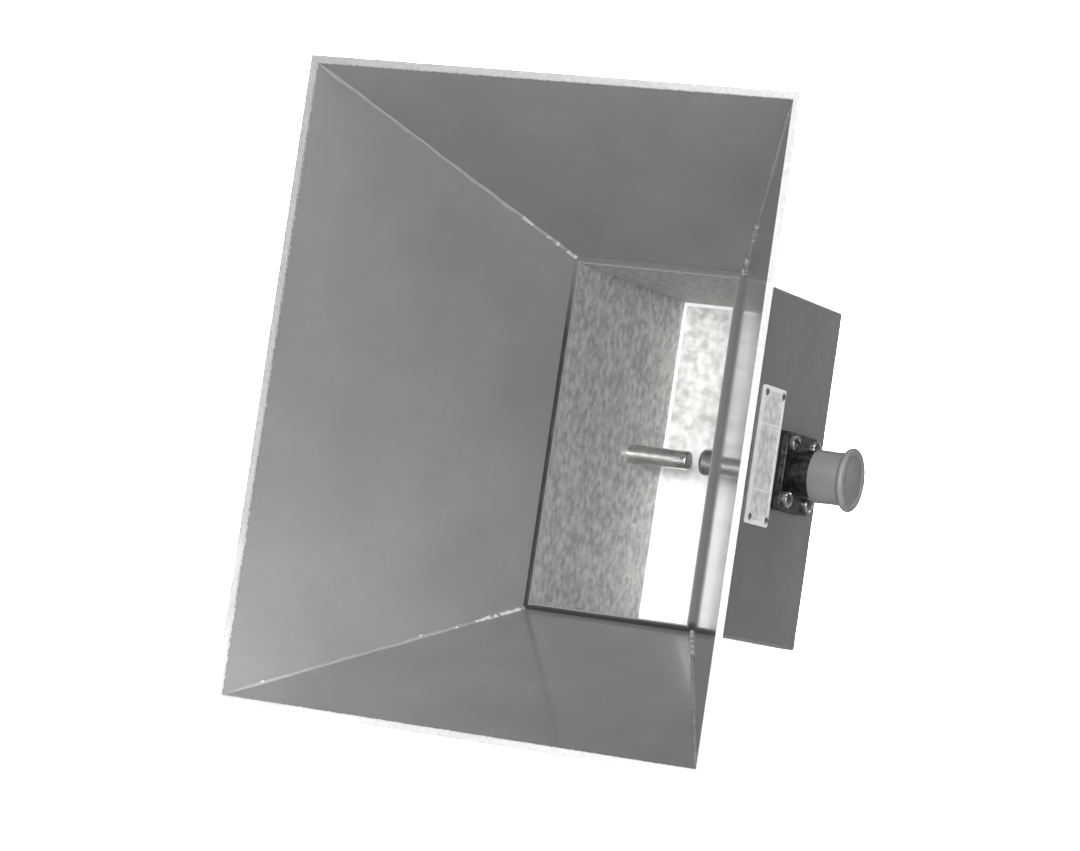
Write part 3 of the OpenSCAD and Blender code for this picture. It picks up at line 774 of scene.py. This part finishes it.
def data_plate():
    """A thin pressed plate: a height over a grid of y and z, closed behind by one face.

    Points past the corners' arcs are pulled back onto them.
    """
    half_y, half_z = (PLATE_HIGH.y - PLATE_LOW.y) / 2, (PLATE_HIGH.z - PLATE_LOW.z) / 2
    centre_y, centre_z = (PLATE_HIGH.y + PLATE_LOW.y) / 2, (PLATE_HIGH.z + PLATE_LOW.z) / 2
    rows, columns, round_r = 90, 200, PLATE_CORNER
    y, z = np.meshgrid(
        np.linspace(-half_y, half_y, rows), np.linspace(-half_z, half_z, columns), indexing="ij"
    )
    dy = np.maximum(np.abs(y) - (half_y - round_r), 0)
    dz = np.maximum(np.abs(z) - (half_z - round_r), 0)
    reach = np.maximum(np.hypot(dy, dz), 1e-12)
    pull = np.minimum(1, round_r / reach)
    y = np.sign(y) * (np.minimum(np.abs(y), half_y - round_r) + dy * pull)
    z = np.sign(z) * (np.minimum(np.abs(z), half_z - round_r) + dz * pull)
    relief = plate_relief(y, z, half_y, half_z)
    thick = PLATE_HIGH.x - PLATE_LOW.x
    top = PLATE_LOW.x + thick * (0.72 + 0.28 * relief)
    rim = np.zeros((rows, columns), bool)
    rim[[0, -1], :] = True
    rim[:, [0, -1]] = True
    top = np.where(rim, PLATE_HIGH.x - 0.1 * MM, top)
    grid = np.stack([top, centre_y + y, centre_z + z], -1)
    index = np.arange(rows * columns).reshape(rows, columns)
    loop = np.concatenate([index[0], index[1:, -1], index[-1, -2::-1], index[-2:0:-1, 0]])
    points = grid.reshape(-1, 3)
    foot = points[loop].copy()
    foot[:, 0] = PLATE_LOW.x
    first = len(points)
    count = len(loop)
    after = np.roll(np.arange(count), -1)
    skirt = np.stack([loop, loop[after], first + after, first + np.arange(count)], 1).tolist()
    faces = grid_faces(rows, columns) + skirt + [list(range(first, first + count))]
    return np.vstack([points, foot]), faces


plate = fitted("data_plate_pressing", data_plate(), "plate", "data_plate")
plate_points = np.array([v.co for v in plate.data.vertices])
centre = (np.array(PLATE_LOW) + np.array(PLATE_HIGH)) / 2
half = (np.array(PLATE_HIGH) - np.array(PLATE_LOW)) / 2
relief = plate_relief(*(plate_points - centre).T[1:], half[1], half[2])
plate.data.attributes.new("relief", "FLOAT", "POINT").data.foreach_set("value", relief)


# ---- Studio ----


def backdrop():
    """Pale floor that curves up into a wall: floor, quarter circle and wall, carried along X."""
    floor_z, radius, near, far, top, half = -0.30, 0.8, -3.0, 2.0, 2.6, 4.0
    curve = arc((far - radius, floor_z + radius), radius, -90, 0, 24)
    profile = np.vstack([[near, floor_z], curve, [far, top]])
    x = np.repeat(np.array([-half, half])[:, None], len(profile), 1)
    y, z = (np.repeat(profile[None, :, k], 2, 0) for k in (0, 1))
    points = np.stack([x, y, z], -1).reshape(-1, 3)
    material, tree, shader = new_material("matt_white_paper", "#fafafa", 0.0, 0.9)
    fibre = speckle(tree, 3, 2)
    colour = toned(tree, fibre, 0.3, 0.7, "#f7f7f7", "#fdfdfd")
    tree.links.new(colour.outputs[2], shader.inputs["Base Color"])
    mesh = bpy.data.meshes.new("studio_sweep")
    mesh.from_pydata(points.tolist(), [], grid_faces(2, len(profile)))
    mesh.polygons.foreach_set("use_smooth", [True] * len(mesh.polygons))
    mesh.materials.append(material)
    piece = bpy.data.objects.new("studio_sweep", mesh)
    bpy.context.scene.collection.objects.link(piece)


def area_light(name, place_at, aim, size, power):
    """A round soft light of that size in metres, turned to face its aim."""
    data = bpy.data.lights.new(name, "AREA")
    data.shape = "DISK"
    data.size = size
    data.energy = power
    lamp = bpy.data.objects.new(name, data)
    bpy.context.scene.collection.objects.link(lamp)
    lamp.location = place_at
    lamp.rotation_euler = (Vector(aim) - Vector(place_at)).to_track_quat("-Z", "Y").to_euler()
    return lamp


def camera(aim, distance, azimuth, elevation, lean, lens):
    """A camera at an azimuth and elevation in degrees round aim, leaning to its left by lean."""
    a, e = math.radians(azimuth), math.radians(elevation)
    back = Vector((math.sin(a) * math.cos(e), -math.cos(a) * math.cos(e), math.sin(e)))
    data = bpy.data.cameras.new("studio_camera")
    data.sensor_width = 36
    data.lens = lens
    data.clip_end = 20
    view = bpy.data.objects.new("studio_camera", data)
    bpy.context.scene.collection.objects.link(view)
    turn = (-back).to_track_quat("-Z", "Y").to_matrix().to_4x4()
    view.matrix_world = (
        Matrix.Translation(Vector(aim) + distance * back)
        @ turn
        @ Matrix.Rotation(math.radians(lean), 4, "Z")
    )
    bpy.context.scene.camera = view


def soft_surround(strength):
    """An even white surround."""
    world = bpy.data.worlds.new("soft_surround")
    world.use_nodes = True
    background = world.node_tree.nodes["Background"]
    background.inputs["Color"].default_value = linear("#ffffff")
    background.inputs["Strength"].default_value = strength
    bpy.context.scene.world = world


backdrop()
soft_surround(0.15)
area_light("key_by_the_camera", (0.55, -1.7, 0.05), (0, -0.1, 0), 0.5, 34)
area_light("high_front", (0.3, -0.9, 0.9), (0, -0.1, 0), 0.6, 6)
area_light("low_front", (0.32, -0.48, -0.22), (-0.07, -0.15, -0.07), 0.12, 0.25)
area_light("top_right", (0.5, 0.1, 1.1), (0.03, -0.05, 0), 0.6, 4)
wash = area_light("backdrop_wash", (-0.9, 0.8, 1.0), (-1.04, 1.95, 0.08), 0.5, 30)
wash.data.spread = math.radians(70)
pool = area_light("corner_pool", (0.35, -1.45, 0.1), (-0.085, -0.185, -0.11), 0.1, 0.09)
pool.data.spread = math.radians(9)
camera((-0.0251, -0.1041, 0.0006), 1.2601, 25.66, -3.50, 8.45, 134.05)
bpy.context.scene.view_settings.view_transform = "Standard"
